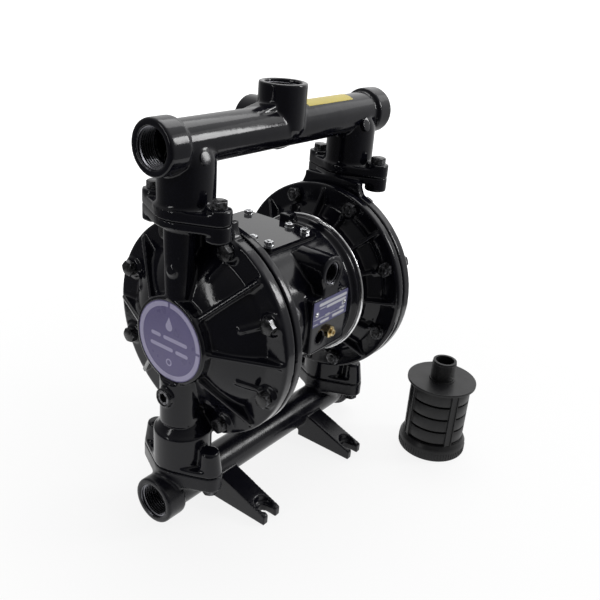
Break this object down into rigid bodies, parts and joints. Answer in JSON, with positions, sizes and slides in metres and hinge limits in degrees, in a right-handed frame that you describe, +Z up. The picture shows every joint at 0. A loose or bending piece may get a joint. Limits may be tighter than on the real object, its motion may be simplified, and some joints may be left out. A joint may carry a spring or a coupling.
{
  "type": "air operated double diaphragm pump",
  "caption": "Air operated double diaphragm pump: ribbed round chambers on a central air valve body, joined by inlet and outlet pipe manifolds with feet, and a loose exhaust silencer.",
  "frame": {"origin": "on the floor, midway between the four feet, under the middle of the diaphragm shaft", "axes": "+X along the diaphragm shaft and the manifolds, -Y towards the front with the air inlet, +Z up"},
  "size_m": [0.347, 0.2698, 0.3993],
  "materials": {
    "gloss_black_casting": "thick gloss enamel on cast aluminium",
    "violet_label": "satin printed film, violet with a lilac ring",
    "black_steel": "gloss black steel fasteners",
    "pale_gasket": "pale fibre gasket",
    "black_rubber": "satin moulded rubber",
    "bare_aluminium": "machined aluminium",
    "bare_steel": "ground steel",
    "bright_zinc": "bright zinc plating",
    "brass": "turned brass",
    "pale_plastic": "white engineering plastic",
    "blue_plate": "printed aluminium plate with pale bare bands",
    "black_plastic": "satin moulded plastic",
    "grey_felt": "dark porous sleeve"
  },
  "bodies": {
    "pump": {"fluid_cap_left": "gloss_black_casting", "fluid_cap_right": "gloss_black_casting", "air_cap_left": "gloss_black_casting", "air_cap_right": "gloss_black_casting", "centre_body": "gloss_black_casting", "top_manifold": "gloss_black_casting", "bottom_manifold": "gloss_black_casting", "valve_cover": "gloss_black_casting", "label_disc_left": "violet_label", "label_disc_right": "violet_label", "drain_plug_left": "black_steel", "drain_plug_right": "black_steel", "rim_bolts_left": "black_steel", "rim_bolts_right": "black_steel", "rim_nuts_left": "black_steel", "rim_nuts_right": "black_steel", "air_cap_screws_left": "black_steel", "air_cap_screws_right": "black_steel", "top_manifold_bolts": "black_steel", "bottom_manifold_bolts": "black_steel", "centre_gasket_left": "pale_gasket", "centre_gasket_right": "pale_gasket", "diaphragm_left": "black_rubber", "diaphragm_right": "black_rubber", "shaft_seals": "black_rubber", "seat_rings": "black_rubber", "valve_cover_gasket": "black_rubber", "valve_body": "bare_aluminium", "lower_left_seat": "bare_aluminium", "lower_right_seat": "bare_aluminium", "upper_left_seat": "bare_aluminium", "upper_right_seat": "bare_aluminium", "valve_cover_studs": "bright_zinc", "valve_cover_nuts": "bright_zinc", "plate_rivets": "bright_zinc", "brass_fitting": "brass", "shaft_bushings": "pale_plastic", "pilot_bushings": "pale_plastic", "valve_sleeve": "pale_plastic", "valve_plugs": "pale_plastic", "rating_plate": "blue_plate", "silencer_cage": "black_plastic", "silencer_head": "black_plastic", "silencer_base": "black_plastic", "silencer_element": "grey_felt"},
    "shaft": {"outer_washer_left": "bare_aluminium", "outer_washer_right": "bare_aluminium", "inner_washer_left": "bare_aluminium", "inner_washer_right": "bare_aluminium", "diaphragm_shaft": "bare_steel", "shaft_screw_left": "bare_steel", "shaft_screw_right": "bare_steel"},
    "pilot": {"pilot_rod": "bare_steel"},
    "spool": {"main_spool": "brass"},
    "lower_left_ball_body": {"lower_left_ball": "pale_plastic"},
    "lower_right_ball_body": {"lower_right_ball": "pale_plastic"},
    "upper_left_ball_body": {"upper_left_ball": "pale_plastic"},
    "upper_right_ball_body": {"upper_right_ball": "pale_plastic"}
  },
  "joints": [
    {"name": "shaft_slide", "type": "slide", "parent": "pump", "child": "shaft", "axis": [1, 0, 0], "range_m": [-0.009, 0.009], "deforming": ["diaphragm_left", "diaphragm_right"]},
    {"name": "pilot_slide", "type": "slide", "parent": "pump", "child": "pilot", "axis": [1, 0, 0], "range_m": [-0.00225, 0.00225]},
    {"name": "spool_slide", "type": "slide", "parent": "pump", "child": "spool", "axis": [1, 0, 0], "range_m": [-0.004, 0.004]},
    {"name": "lower_left_ball_lift", "type": "slide", "parent": "pump", "child": "lower_left_ball_body", "axis": [0, 0, 1], "range_m": [0, 0.006]},
    {"name": "lower_right_ball_lift", "type": "slide", "parent": "pump", "child": "lower_right_ball_body", "axis": [0, 0, 1], "range_m": [0, 0.006]},
    {"name": "upper_left_ball_lift", "type": "slide", "parent": "pump", "child": "upper_left_ball_body", "axis": [0, 0, 1], "range_m": [0, 0.006]},
    {"name": "upper_right_ball_lift", "type": "slide", "parent": "pump", "child": "upper_right_ball_body", "axis": [0, 0, 1], "range_m": [0, 0.006]}
  ],
  "couplings": [
    {"joint": "pilot_slide", "follows": "shaft_slide", "ratio": 0.25},
    {"joint": "spool_slide", "follows": "shaft_slide", "ratio": -0.44}
  ]
}
